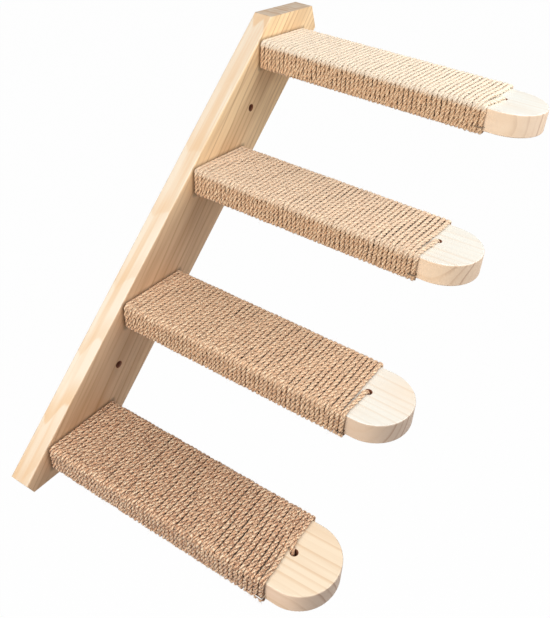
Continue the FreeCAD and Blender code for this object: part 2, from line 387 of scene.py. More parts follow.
def pine(name, centre, angles, plank, bores, rope_shade_from=None, seats=()):
    """Pine for one plank: early wood, late wood, bands and fibres, then its ends, bores and painted
    shade.

    Late wood starts half through a year, is darkest near its end and stops sharply. From
    the given Y to the board a tread is painted dark, as painted shade in the gaps between
    turns of rope, which are all that show of it.
    """
    material, start, shader = new_material(name)
    space = plank_space(start, centre, angles, plank["heart"])
    spot = start.here().split()
    part, strength = year_rings(space, plank)
    late = part.ramp_up(0.5, 0.92) * (1 - part.ramp_up(0.94, 1.0))
    late = late * (0.15 + strength * 0.85) * plank["contrast"]
    fibre = space.noise(FIBRE_SQUEEZE, 3.0, 0.6)
    patch = space.noise(PATCH_SQUEEZE).ramp_up(0.4, 0.75)
    band = space.noise(BAND_SQUEEZE, 3.0, 0.6).ramp_up(0.42, 0.62)
    # Tops take a paler colour than sides and undersides: painted light from above.
    early = start.facing((0, 0, 1)).ramp_up(0.35, 0.85).blend(plank["side"], plank["early"])
    wood = (patch * 0.5).blend(early, WARM_WOOD)
    wood = late.blend(wood, plank["late"])
    wood = (fibre.ramp_up(0.5, 0.85) * 0.16).blend(wood, LATE_WOOD)
    wood = (band * plank["bands"]).blend(wood, plank["late"])
    endness = abs(start.facing(plank_turn(angles).row[2])).ramp_up(0.25, 0.95)
    wood = sawn_end(wood, endness, plank, part, strength)
    if plank["face"]:
        wood = board_face(wood, start, spot, late, band, plank)
    # Bores are browned: partly their own wood, partly painted shade inside them.
    wood = bore_tint_and_shade(wood, spot, *bores)
    # Painted shadow on the board's front round each tread's seat.
    for seat in seats:
        wood = painted_seat_shadow(wood, spot, seat)
    # Painted shade on the wood under the rope, which shows only in the gaps between turns.
    if rope_shade_from:
        wood = (spot[1].ramp_up(rope_shade_from, rope_shade_from + MM) * 0.8).blend(wood, PAINTED_SHADE_BROWN)
    wire(shader, "Base Color", wood)
    wire(shader, "Roughness", 0.50 + fibre * 0.18 + late * 0.05)
    wire(shader, "Normal", start.bump(0.3, 0.15 * MM, fibre * 0.5 + late * 0.8))
    return material


print("the board's front turns paler from a height of %.0f mm to %.0f mm"
      % tuple(height / MM for height in FACE_LIGHT_HEIGHTS))

# %% [markdown]
# No two planks come from the same place in a tree, so each has its own heart and lean,
# and their rings and colours differ too. The upper treads are painted paler, with fainter
# late wood and less grey ends, as painted light that grows towards the top, and the
# board's front shows the strongest figure.

# %% What each plank's wood is like
# heart: where the tree's heart lies from the plank's middle, in metres across it.
# lean: how far that heart drifts for each metre along the plank.
# ring: how thick a year is, in metres. wander: how far a ring strays, in years.
# contrast: how dark late wood is. bands: how strong the broad streaks are.
# early, side: early wood on tops, and on sides and undersides, the tops painted paler as painted
# light. late: late wood.
# grey, end: how grey the sawn ends are, and how dark their arcs. face: how much of the front's
# colour, partly painted light and shade, is blended in.
TREAD_WOOD = {"ring": 0.0085, "wander": 0.35, "bands": 0.10, "face": 0.0, "end": 0.60}
PLANKS = {
    1: {**TREAD_WOOD, "heart": (-0.130, 0.050), "lean": (0.02, -0.03), "contrast": 0.52,
        "bands": 0.16, "early": paint(245, 226, 199), "side": paint(244, 211, 182),
        "late": LATE_WOOD, "grey": 0.70},
    2: {**TREAD_WOOD, "heart": (-0.130, -0.050), "lean": (-0.03, 0.04), "contrast": 0.28,
        "early": paint(241, 241, 233), "side": paint(231, 203, 176), "late": LATE_WOOD,
        "grey": 0.70, "end": 0.70},
    3: {**TREAD_WOOD, "heart": (0.070, 0.044), "lean": (0.03, 0.03), "contrast": 0.24,
        "ring": 0.0080, "early": paint(240, 240, 232), "side": paint(254, 224, 191),
        "late": PALE_LATE_WOOD, "grey": 0.45},
    4: {**TREAD_WOOD, "heart": (-0.140, 0.004), "lean": (0.04, -0.03), "contrast": 0.16,
        "ring": 0.0088, "early": paint(243, 244, 237), "side": paint(254, 226, 195),
        "late": PALE_LATE_WOOD, "grey": 0.42},
    "board": {"heart": (0.130, 0.010), "lean": (0.09, 0.03), "ring": 0.0080, "wander": 1.2,
              "contrast": 0.70, "bands": 0.50, "early": paint(248, 232, 210),
              "side": paint(248, 230, 202), "late": paint(234, 188, 134), "face": 0.9,
              "grey": 0.50, "end": 0.45},
}
print("%d planks, with year rings of" % len(PLANKS),
      sorted({plank["ring"] / MM for plank in PLANKS.values()}), "mm")

# %% Put pine on the planks
# How far out from a tread's square end its rope hole lies, and where the painted shade on the wood
# under its rope ends.
ROPE_HOLE_OUT = 0.308
ROPE_COVER = 0.295
ROPE_HOLE_RADIUS = 0.0045
WALL_HOLE_RADIUS = 0.00475


def dress(node, material):
    """Puts one material on every slot of a CAD node."""
    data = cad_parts[node].data
    data.materials.clear()
    data.materials.append(material)


def middle(node):
    """The middle of a CAD node's box."""
    low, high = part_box(node)
    return (low + high) / 2


def tread_root(number):
    """The middle of a tread's square end, where it meets the board."""
    place = middle("tread_%d" % number)
    return Vector((place.x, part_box("tread_%d" % number)[1].y, place.z))


roots = {number: tread_root(number) for number in TREADS}
for number, root in roots.items():
    hole = [(root.x, root.y - ROPE_HOLE_OUT)]
    dress("tread_%d" % number, pine(
        "pine_tread_%d" % number, middle("tread_%d" % number), TREAD_ANGLES, PLANKS[number],
        (hole, "Z", ROPE_HOLE_RADIUS), rope_shade_from=root.y - ROPE_COVER))

seats = [(root.x, root.z) for root in roots.values()]
wall_holes = [((roots[a].x + roots[b].x) / 2, (roots[a].z + roots[b].z) / 2)
              for a, b in ((1, 2), (3, 4))]
board_middle = (0, middle("backboard").y, 0)
dress("backboard", pine("pine_board", board_middle, BOARD_ANGLES, PLANKS["board"],
                        (wall_holes, "Y", WALL_HOLE_RADIUS), seats=seats))
print("the board carries treads at", [[round(value, 4) for value in seat] for seat in seats])
print("wall holes at", [[round(value, 4) for value in place] for place in wall_holes])

# %% [markdown]
# The rope is three jute strands laid round each other to the right. A flat picture of
# rope on a sleeve would look wrong at the edges, so every turn is real: the middle line
# follows a rounded rectangle round the tread, 51 times. A hand-wound rope is never quite
# regular, so slow waves push its turns a little to and fro.

# %% One turn round a tread
TREAD_HALF_WIDTH = 45.0
TREAD_HALF_THICKNESS = 13.5
TREAD_EDGE = 1.5
ROPE_STANDOFF = 2.8
# How many points the line has on each stretch of a turn.
RINGS_ON = {"flat": 42, "side": 12, "corner": 7}
WAVES = 6
WAVE_RATES = (0.3, 1.6)
WAVES_REACH = 2.5


def slow_waves(seed, across, along, size):
    """A smooth wandering of about +-size: the sum of sin(f across + g along + start).

    Each wave has its own seeded f, g and start, and their sum reaches about WAVES_REACH.
    """
    dice = np.random.default_rng(seed)
    total = np.zeros_like(across)
    for _ in range(WAVES):
        f, g = dice.uniform(*WAVE_RATES, 2)
        total += np.sin(f * across + g * along + dice.uniform(0, 2 * np.pi))
    return size * total / WAVES_REACH


def soft_step(t):
    """0 below 0, 1 above 1, and t t (3 - 2 t) between."""
    t = np.clip(t, 0, 1)
    return t * t * (3 - 2 * t)


def straight(x0, z0, x1, z1, count):
    """Points of a straight run from (x0, z0), which stop short of (x1, z1)."""
    t = np.arange(count) / count
    return x0 + (x1 - x0) * t, z0 + (z1 - z0) * t


def rounded(cx, cz, radius, first):
    """Points of a quarter turn: x = cx + r cos a, z = cz + r sin a, from a = first downwards."""
    a = np.radians(first - 90 * np.arange(RINGS_ON["corner"]) / RINGS_ON["corner"])
    return cx + radius * np.cos(a), cz + radius * np.sin(a)


def one_turn():
    """x and z round a tread from its far lower corner, and how much of the step is done.

    The rope steps to its next row only on the underside, as a soft step along it.
    """
    flat = TREAD_HALF_WIDTH - TREAD_EDGE
    upright = TREAD_HALF_THICKNESS - TREAD_EDGE
    bend = TREAD_EDGE + ROPE_STANDOFF
    out_x, out_z = flat + bend, upright + bend
    pieces = [straight(flat, -out_z, -flat, -out_z, RINGS_ON["flat"]),
              rounded(-flat, -upright, bend, 270),
              straight(-out_x, -upright, -out_x, upright, RINGS_ON["side"]),
              rounded(-flat, upright, bend, 180),
              straight(-flat, out_z, flat, out_z, RINGS_ON["flat"]),
              rounded(flat, upright, bend, 90),
              straight(out_x, upright, out_x, -upright, RINGS_ON["side"]),
              rounded(flat, -upright, bend, 0)]
    x = np.concatenate([piece[0] for piece in pieces])
    z = np.concatenate([piece[1] for piece in pieces])
    step = np.ones_like(x)
    step[:RINGS_ON["flat"]] = soft_step(np.arange(RINGS_ON["flat"]) / RINGS_ON["flat"])
    return x, z, step


print("one turn has", len(one_turn()[0]), "points")

# %% The tail that goes down the hole
HOLE_DEPTH = 15.0
# In X from the tread's middle line: where the tail starts to bend, the point that leads
# the bend, and where it goes down.
TAIL_LEAVES_X = -10.5
TAIL_BENDS_X = -4.0
TAIL_SINKS_X = 0.3
TAIL_RINGS = {"swing": 15, "bend": 14, "down": 5}
BEND_DROP = 9.0


def bezier(a, b, c, d, count):
    """(1-t)^3 a + 3 (1-t)^2 t b + 3 (1-t) t^2 c + t^3 d."""
    t = (np.arange(count) / count)[:, None]
    a, b, c, d = (np.array(point, float) for point in (a, b, c, d))
    return (1 - t) ** 3 * a + 3 * (1 - t) ** 2 * t * b + 3 * (1 - t) * t ** 2 * c + t ** 3 * d


def rope_tail(last, leave, hole):
    """Over half of the top with a soft swing outwards, then one smooth bend down the hole."""
    top = TREAD_HALF_THICKNESS + ROPE_STANDOFF
    t = (1 + np.arange(TAIL_RINGS["swing"])) / TAIL_RINGS["swing"]
    swing = np.stack([last[0] + (TAIL_LEAVES_X - last[0]) * t,
                      last[1] + (leave - last[1]) * soft_step(t),
                      last[2] + (top - last[2]) * t], 1)
    bend = bezier(swing[-1], (TAIL_BENDS_X, leave, top + 0.1), (TAIL_SINKS_X, hole, top - 1.0),
                  (TAIL_SINKS_X, hole, top - BEND_DROP), TAIL_RINGS["bend"])[1:]
    deep = np.linspace(top - BEND_DROP, TREAD_HALF_THICKNESS - HOLE_DEPTH, TAIL_RINGS["down"])
    down = np.stack([np.full_like(deep, TAIL_SINKS_X), np.full_like(deep, hole), deep], 1)
    return np.concatenate([swing, bend, down])


print("a tail has", sum(TAIL_RINGS.values()) - 1, "points")

# %% The whole line of a rope
PITCH = 6.0
TURNS = 51
LAST_TURN_OUT = 303.4
# How far out the last turns end up on the side of the tail and on the other side, where
# the tail leaves the turns beside the hole, and where it goes down.
ENDINGS = {
    1: {"tail": 301.0, "other": 301.4, "leave": 301.4, "hole": 305.8},
    2: {"tail": 303.6, "other": 298.6, "leave": 306.0, "hole": 307.0},
    3: {"tail": 303.0, "other": 301.8, "leave": 306.8, "hole": 307.8},
    4: {"tail": 301.6, "other": 300.8, "leave": 307.0, "hole": 308.0},
}
# Over how many turns the easing fades to about a third, and over how much of the width
# it changes from one side's value to the other's.
EASE_TURNS = 7.0
MIDDLE_BAND = 60.0
# The angle round a tread is taken with its height stretched, so that it is nearly square.
HEIGHT_STRETCH = 3
# Seeds make every rope its own: a seed is this times the tread's number, plus a shift.
ROW_SEED = 11
# Waves of the rows: the seed's shift, the rates round a turn and from turn to turn, and
# the size in millimetres along the tread. The last waves lift the rope by a share.
ROW_WAVES = ((0, 2, 0.55, 0.42), (50, 5, 1.7, 0.30))
LIFT_WAVES = (90, 3, 1.3, 0.004)


def settled(out, turn, x, ending):
    """Eases the last turns to their places: out + e^(-(last - turn) / ease) times the shift.

    The shift is one value on the tail's half and another on the other half, with a soft
    step between them across the middle of the tread.
    """
    tail_shift = ending["tail"] - LAST_TURN_OUT
    other_shift = ending["other"] - (LAST_TURN_OUT - PITCH)
    share = soft_step(x / MIDDLE_BAND + 0.5)
    weight = np.exp(-(TURNS - 1 - turn) / EASE_TURNS)
    return out + weight * (tail_shift + (other_shift - tail_shift) * share)


def rope_line(number, mirror):
    """All turns and the tail into the hole, as points in millimetres from the tread's root.

    The turns wander by slow waves of the turn and of the angle round the tread, which
    die away at both ends. The last turn stops where it comes up to the top.
    """
    x, z, step = one_turn()
    count = len(x)
    turn = np.repeat(np.arange(TURNS), count)
    x, z, step = np.tile(x, TURNS), np.tile(z, TURNS), np.tile(step, TURNS)
    first = LAST_TURN_OUT - (TURNS - 1) * PITCH
    out = np.maximum(first + (turn - 1 + step) * PITCH, first)
    around = np.arctan2(z * HEIGHT_STRETCH, x)
    seed = number * ROW_SEED
    calm = np.clip((TURNS - 1 - turn) / 2, 0.15, 1) * np.clip(turn / 1.5, 0, 1)
    out = settled(out, turn + step - 1, x, ENDINGS[number])
    for shift, round_rate, row_rate, size in ROW_WAVES:
        out = out + calm * slow_waves(seed + shift, around * round_rate, turn * row_rate, size)
    shift, round_rate, row_rate, size = LIFT_WAVES
    lift = 1 + slow_waves(seed + shift, around * round_rate, turn * row_rate, size)
    points = np.stack([x * lift, out, z * lift], 1)
    last_top = (TURNS - 1) * count + RINGS_ON["flat"] + 2 * RINGS_ON["corner"] + RINGS_ON["side"]
    points = points[RINGS_ON["flat"] // 2:last_top]
    tail = rope_tail(points[-1], ENDINGS[number]["leave"], ENDINGS[number]["hole"])
    points = np.concatenate([points, tail])
    if mirror:
        points[:, 0] *= -1
    return points


print("the turns cover %.0f mm of a tread" % (TURNS * PITCH))

# %% [markdown]
# Each strand is a tube that circles the middle line of the rope, one round for every lay.
# Curves with a bevel could do that, but arrays leave every point free. So the strands can
# swell and shrink, their twist isn't even, and the rope is pressed flat where it goes
# round a tread's edge.

# %% Strands round that line
STRANDS = 3
# In millimetres: one round of a strand, its radius, and how far it is from the line.
LAY = 20.5
STRAND_RADIUS = 1.50
STRAND_OFFSET = 1.34
STRAND_SIDES = 7
# How much a strand's yarn twists, in radians for each millimetre.
YARN_TWIST = 0.32
# The rope is broader than it is high, and more so where it bends round SHARP_BEND or less.
BROADER = 1.06
PRESSED = 0.14
SHARP_BEND = 5.0
# How far apart along the rope the strands start in their pattern, so that they differ.
PATTERN_GAP = 37.0
STRAND_SEED = 5
# Waves along a strand: the seed's shift, two rates a millimetre, and the size, which is
# an angle for the twist and a share for the girth.
TWIST_WAVES = ((0, 0.02, 0.05, 0.8), (3, 0.09, 0.17, 0.3))
GIRTH_WAVES = ((7, 0.11, 0.31, 0.065), (17, 0.7, 1.3, 0.035))


def waves_along(s, seed, waves):
    """The sum of slow waves of the distance s, one for each row of waves."""
    return sum(slow_waves(seed + shift, s * f, s * g, size) for shift, f, g, size in waves)


def unit(vectors):
    """The same ways with a length of 1."""
    return vectors / np.linalg.norm(vectors, axis=1, keepdims=True)


def rope_sides(line, side):
    """The way T of the line, B across it, and N away from the wood, at every point."""
    way = unit(np.gradient(line, axis=0))
    binormal = np.tile(np.array([[0, side, 0]], float), (len(line), 1))
    binormal = unit(binormal - np.sum(binormal * way, 1, keepdims=True) * way)
    return way, binormal, np.cross(binormal, way)


def bend_share(way, s):
    """How sharply the line bends: SHARP_BEND divided by its radius, and 1 at the most.

    It is SHARP_BEND |T'|, with T' the way's change in a millimetre, smoothed over 3 points.
    """
    bent = np.linalg.norm(np.gradient(way, axis=0), axis=1) / np.gradient(s)
    return np.clip(SHARP_BEND * np.convolve(bent, np.ones(3) / 3, "same"), 0, 1)[:, None]


def flattened(points, line, binormal, normal, bent):
    """Widens the rope by BROADER, and in a bend makes it PRESSED wider and lower."""
    across = np.einsum("rsk,rk->rs", points - line[:, None], binormal)
    points = points + ((BROADER - 1 + PRESSED * bent) * across)[:, :, None] * binormal[:, None]
    upright = np.einsum("rsk,rk->rs", points - line[:, None], normal)
    return points - (PRESSED * bent * upright)[:, :, None] * normal[:, None]


def strand(line, index, side, seed):
    """One strand: a tube round line + offset * (cos p N + sin p B), where p = 2 pi s / lay.

    T is the way of the line, B is T x N, N points away from the wood, and s is the
    distance along the line. The ring of the tube stands square to the strand's own way.
    The strand's pattern runs along s and round its yarn, which twists as it goes.
    """
    span = np.linalg.norm(np.diff(line, axis=0), axis=1)
    s = np.concatenate([[0], np.cumsum(span)])
    way, binormal, normal = rope_sides(line, side)
    phase = 2 * np.pi * (s / LAY + index / STRANDS) + waves_along(s, seed, TWIST_WAVES)
    spoke = np.cos(phase)[:, None] * normal + np.sin(phase)[:, None] * binormal
    centre = line + STRAND_OFFSET * spoke
    own_way = unit(np.gradient(centre, axis=0))
    outward = unit(spoke - np.sum(spoke * own_way, 1, keepdims=True) * own_way)
    sideways = np.cross(own_way, outward)
    girth = STRAND_RADIUS * (1 + waves_along(s, seed + index, GIRTH_WAVES))
    angle = 2 * np.pi * np.arange(STRAND_SIDES) / STRAND_SIDES
    ring = (np.cos(angle)[None, :, None] * outward[:, None]
            + np.sin(angle)[None, :, None] * sideways[:, None])
    points = centre[:, None] + girth[:, None, None] * ring
    points = flattened(points, line, binormal, normal, bend_share(way, s))
    yarn = angle[None, :] + YARN_TWIST * s[:, None]
    fibre = np.stack([np.broadcast_to(s[:, None], yarn.shape) + PATTERN_GAP * index,
                      np.cos(yarn) * STRAND_RADIUS, np.sin(yarn) * STRAND_RADIUS], 2)
    outer = np.broadcast_to(np.cos(angle), yarn.shape)
    height = np.einsum("rsk,rk->rs", points - line[:, None], normal)
    return points, fibre, outer, height / (STRAND_OFFSET + STRAND_RADIUS)


print("a strand goes round the rope once in %.1f mm" % LAY)

# %% [markdown]
# A staple low on the near side holds the last turn of each rope, and its crown squeezes
# the strands. So the staple's place is worked out before the rope is wound, and every
# point that would stand in front of the crown is moved back to it.

# %% Where the staples press
# The staples lie where they were hammered in: how far from the CAD's place along the
# tread and up, and how much further their crowns reach, in millimetres.
STAPLE_SHIFT = {1: 3.6, 2: 0.6, 3: -0.4, 4: -1.4}
STAPLE_RAISE = {1: 2.4, 2: 0.8, 3: 0.8, 4: 0.8}
STAPLE_REACH = 2.4
# Half the flat wire's thickness and width, and half the CAD's round wire.
STAPLE_HALF = (0.38, 0.75)
CAD_WIRE_HALF = 0.3
# Half the length of crown that presses, and how the rope gives way behind it.
PINCH_HALF = 3.6
PINCH_GAP = 0.25
PINCH_CURVE = 0.14


def staple_line(number):
    """Where a staple's wire runs: its outer face, the tips of its legs, both legs, height."""
    low, high = (np.array(corner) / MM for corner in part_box("rope_staple_%d" % number))
    legs = np.array([low[1] + CAD_WIRE_HALF, high[1] - CAD_WIRE_HALF + STAPLE_REACH])
    legs = legs - STAPLE_SHIFT[number]
    return low[0], high[0], legs, (low[2] + high[2]) / 2 + STAPLE_RAISE[number]


def pinched(points, number):
    """Squeezes the rope under a staple's crown.

    With e the distance from the crown's line, a point may reach out along -X no further
    than the crown's inner side, less PINCH_GAP, plus PINCH_CURVE e^2.
    """
    face, _, legs, height = staple_line(number)
    off_y = np.maximum(np.abs(points[..., 1] - legs.mean()) - PINCH_HALF, 0)
    off_z = points[..., 2] - height
    limit = face + 2 * STAPLE_HALF[0] + PINCH_GAP - PINCH_CURVE * (off_y ** 2 + off_z ** 2)
    pressed = points.copy()
    pressed[..., 0] = np.maximum(points[..., 0], limit)
    return pressed


print("the lowest staple lies %.1f mm below the board's middle" % -staple_line(1)[3])

# %% [markdown]
# A surface on a grid becomes a mesh in one step: the points in a long list, four
# corners for every face, and one wider face to close each end of a tube. Filling these
# lists with foreach_set is many times faster than adding points one by one.

# %% Meshes from arrays
def tube_faces(rings, sides):
    """Quads between one ring and the next, then one many-sided face at each end."""
    r, c = np.meshgrid(np.arange(rings - 1), np.arange(sides), indexing="ij")
    n = (c + 1) % sides
    quads = np.stack([r * sides + c, r * sides + n, (r + 1) * sides + n, (r + 1) * sides + c], 2)
    ends = [np.arange(sides)[::-1], (rings - 1) * sides + np.arange(sides)]
    return quads.reshape(-1, 4), ends


def new_mesh(name, points, quads, others=()):
    """A smooth mesh object from arrays: its points, its quads and its other faces."""
    loops = np.concatenate([quads.ravel(), *others]).astype(np.int32)
    sizes = np.concatenate([np.full(len(quads), 4), [len(face) for face in others]])
    starts = np.concatenate([[0], np.cumsum(sizes)[:-1]])
    data = bpy.data.meshes.new(name)
    data.vertices.add(len(points))
    data.vertices.foreach_set("co", np.ascontiguousarray(points, np.float32).ravel())
    data.loops.add(len(loops))
    data.loops.foreach_set("vertex_index", loops)
    data.polygons.add(len(sizes))
    data.polygons.foreach_set("loop_start", starts.astype(np.int32))
    data.polygons.foreach_set("loop_total", sizes.astype(np.int32))
    data.polygons.foreach_set("use_smooth", np.ones(len(sizes), bool))
    data.update(calc_edges=True)
    data.validate()
    piece = bpy.data.objects.new(name, data)
    bpy.context.scene.collection.objects.link(piece)
    return piece


def new_piece(name, points, quads, others):
    """A mesh with its points in millimetres that rides on the ladder's body."""
    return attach(new_mesh(name, points.reshape(-1, 3) * MM, quads, others), BODY)


def add_attribute(piece, name, kind, values):
    """Stores one value for each point of the mesh, for the material to read."""
    attribute = piece.data.attributes.new(name, kind, "POINT")
    key = "vector" if kind == "FLOAT_VECTOR" else "value"
    attribute.data.foreach_set(key, np.ascontiguousarray(values, np.float32).ravel())


print("a tube of 2 rings of 7 points has", len(tube_faces(2, 7)[0]), "quads and 2 ends")

# %% [markdown]
# Jute is dull, dry and uneven. Its fibres run along each strand with a slight twist, and
# some are pale and some are brown. The hollows between strands and the side towards the
# wood are painted darker, as painted shade, and the higher ropes are painted lighter, most
# on top, as painted light. The pattern follows the strand, so it reads an attribute
# that was stored with the mesh: the distance along the rope and the place round it.

# %% Jute
JUTE_PALE = paint(255, 213, 172)
JUTE_TAN = paint(228, 167, 122)
JUTE_BROWN = paint(92, 48, 27)
JUTE_LIGHT = paint(255, 231, 196)
# Painted light: the pale colour that a tread's top blends to and the warm one that a whole rope
# blends to, by shares that grow towards the highest tread.
JUTE_LIT_TOP = paint(252, 240, 220)
JUTE_WARM = paint(255, 216, 168)
TOP_PAINTED_LIGHT = {1: 0.0, 2: 0.06, 3: 0.30, 4: 0.70}
ROPE_PAINTED_LIGHT = {1: 0.02, 2: 0.22, 3: 0.32, 4: 0.42}
# How noise is squeezed in a strand: waves for each millimetre, along it and twice across.
HAIR_SQUEEZE = (0.25, 2.0, 2.0)
CLUMP_SQUEEZE = (0.12, 0.9, 0.9)
SPECK_SQUEEZE = (0.9, 2.2, 2.2)
MOTTLE_SQUEEZE = (0.6, 0.75, 0.75)
PULL_SQUEEZE = (0.11, 0.12, 0.12)


def jute(number):
    """Jute with pale and brown fibres, with painted light: lighter all over and paler on top, more
    so on higher treads.

    It reads five attributes: fibre is a place in the strand, in millimetres, and tone is a
    slow change along it. hollow is 1 inside the rope, where strands meet. rise goes from
    -1 at the wood to 1 away from it, and upper is 1 on a tread's top.
    """
    material, start, shader = new_material("jute_%d" % number)
    fibre = start.add("ShaderNodeAttribute", {"attribute_name": "fibre"}, output=1)
    tone, hollow, rise, upper = (
        start.add("ShaderNodeAttribute", {"attribute_name": key}, output=2)
        for key in ("tone", "hollow", "rise", "upper"))
    hair = fibre.noise(HAIR_SQUEEZE, 3.0, 0.65)
    clump = fibre.noise(CLUMP_SQUEEZE)
    speck = fibre.noise(SPECK_SQUEEZE, roughness=0.6)
    mottle = fibre.noise(MOTTLE_SQUEEZE, detail=1.0)
    pull = fibre.noise(PULL_SQUEEZE) - 0.5
    colour = hair.ramp_up(0.40, 0.60).blend(JUTE_TAN, JUTE_PALE)
    colour = (tone * 0.5).blend(colour, JUTE_TAN)
    colour = (clump.ramp_up(0.55, 0.8) * 0.45).blend(colour, JUTE_BROWN)
    colour = (speck.ramp_up(0.55, 0.66) * 0.72).blend(colour, JUTE_BROWN)
    colour = (mottle.ramp_up(0.56, 0.66) * 0.75).blend(colour, JUTE_BROWN)
    colour = ((1 - mottle.ramp_up(0.38, 0.50)) * 0.95).blend(colour, JUTE_LIGHT)
    # Painted shade: the hollows between strands and the rope's side towards the wood are darkened.
    colour = (hollow * 0.95).blend(colour, JUTE_BROWN)
    colour = ((1 - (rise - pull * 1.5).ramp_up(-0.7, 0.40)) * 0.95).blend(colour, JUTE_BROWN)
    # Painted light: the whole rope is lightened more on the higher treads.
    colour = start.add("ShaderNodeMix", {"data_type": "RGBA"}, {
        0: ROPE_PAINTED_LIGHT[number], 6: colour, 7: JUTE_WARM}, output=2)
    # Painted light: a tread's top is paled, most on the highest tread.
    colour = (upper * TOP_PAINTED_LIGHT[number]).blend(colour, JUTE_LIT_TOP)
    wire(shader, "Base Color", colour)
    wire(shader, "Roughness", 0.50 + hair * 0.25)
    wire(shader, "Normal", start.bump(0.8, 0.4 * MM, hair + clump * 0.5))
    shader.inputs["Specular IOR Level"].default_value = 0.50
    shader.inputs["Sheen Weight"].default_value = 0.25
    shader.inputs["Sheen Roughness"].default_value = 0.5
    return material


jute_finish = {number: jute(number) for number in TREADS}
print("jute materials:", [material.name for material in jute_finish.values()])

# %% [markdown]
# Jute never lies quite smooth. Thousands of loose fibres stand off the rope, and they are
# what makes its outline look soft. Blender's hair could do that, but an exported model has
# only meshes. So each fibre is a thin tube with three sides and few rings, and all of them
# together stay light.

# %% Loose fibres
HAIRS = 5500
HAIR_RADIUS = 0.055
HAIR_RINGS = 4
HAIR_SIDES = 3
HAIR_LENGTH = (1.5, 5.5)
# How far to each side of N a fibre may start, in degrees, and how far from the line.
HAIR_LEAN = 75
ROPE_SKIN = 2.3
# How many points at the start and at the end of the line have no fibres.
BARE_POINTS = (4, 40)
HAIR_SEED = 7


def loose_fibres(line, side, seed):
    """Hairs of few sides: base + t length heading + t^2 length curl, for t from 0 to 1.

    The ring at t has the radius r (1 - 0.8 t), so each hair ends in a fine tip.
    """
    dice = np.random.default_rng(seed)
    way, binormal, normal = rope_sides(line, side)
    pick = dice.integers(BARE_POINTS[0], len(line) - BARE_POINTS[1], HAIRS)
    lean = np.radians(dice.uniform(-HAIR_LEAN, HAIR_LEAN, HAIRS))[:, None]
    spoke = np.cos(lean) * normal[pick] + np.sin(lean) * binormal[pick]
    base = line[pick] + spoke * ROPE_SKIN
    turned = np.where(dice.random(HAIRS) < 0.5, 1.0, -1.0)[:, None]
    heading = unit(way[pick] * turned + spoke * dice.uniform(0.1, 0.7, (HAIRS, 1))
                   + binormal[pick] * dice.normal(0, 0.35, (HAIRS, 1)))
    curl = spoke * dice.uniform(-0.5, 0.5, (HAIRS, 1)) + dice.normal(0, 0.25, (HAIRS, 3))
    length = dice.uniform(*HAIR_LENGTH, (HAIRS, 1, 1))
    t = np.linspace(0, 1, HAIR_RINGS)[None, :, None]
    path = base[:, None] + t * length * heading[:, None] + t ** 2 * length * curl[:, None]
    first = unit(np.cross(heading, spoke))
    second = np.cross(heading, first)
    angle = 2 * np.pi * np.arange(HAIR_SIDES) / HAIR_SIDES
    ring = (np.cos(angle)[None, :, None] * first[:, None]
            + np.sin(angle)[None, :, None] * second[:, None])
    girth = HAIR_RADIUS * (1 - 0.8 * t)
    points = path[:, :, None] + girth[..., None] * ring[:, None]
    quads, ends = tube_faces(HAIR_RINGS, HAIR_SIDES)
    shift = (np.arange(HAIRS) * HAIR_RINGS * HAIR_SIDES)[:, None, None]
    quads = (quads[None] + shift).reshape(-1, 4)
    caps = (np.stack(ends)[None] + shift).reshape(-1, HAIR_SIDES)
    shade = np.repeat(dice.uniform(0, 1, HAIRS), HAIR_RINGS * HAIR_SIDES)
    return points.reshape(-1, 3), quads, caps, shade


print("%d loose fibres on each rope, %.2f mm thick" % (HAIRS, 2 * HAIR_RADIUS))

# %% [markdown]
# Now each rope is wound. The lowest one runs the other way round its tread, so that its
# tail comes over the top from the far side. Its line is mirrored, but the strands are
# laid after that, so their twist stays right-handed.

# %% Wind every tread
# The tread whose rope runs the other way round.
BACKWARD = 1
HOLLOW_FROM = 0.55
# The height above a tread's middle where its top begins to count, and over how much more.
UPPER_FROM = 8.0
UPPER_OVER = 7.0
TONE_SEED = 31
TONE_WAVES = ((0, 0.013, 0.041, 0.4),)
# Loose fibres read the same material, with a coarser pattern, a tone and a rise of theirs.
HAIR_PATTERN = 0.2
HAIR_TONE = 0.5
HAIR_RISE = 0.8


def finish_jute(piece, number, fibre, **shades):
    """Stores what the jute material reads, and gives the piece its material."""
    add_attribute(piece, "fibre", "FLOAT_VECTOR", fibre)
    for key, values in shades.items():
        add_attribute(piece, key, "FLOAT", values)
    piece.data.materials.append(jute_finish[number])


def upperness(points, number):
    """0 below a tread's top edge and 1 above it, with a soft step between."""
    top = roots[number].z / MM + UPPER_FROM
    return soft_step((points[..., 2] - top) / UPPER_OVER)


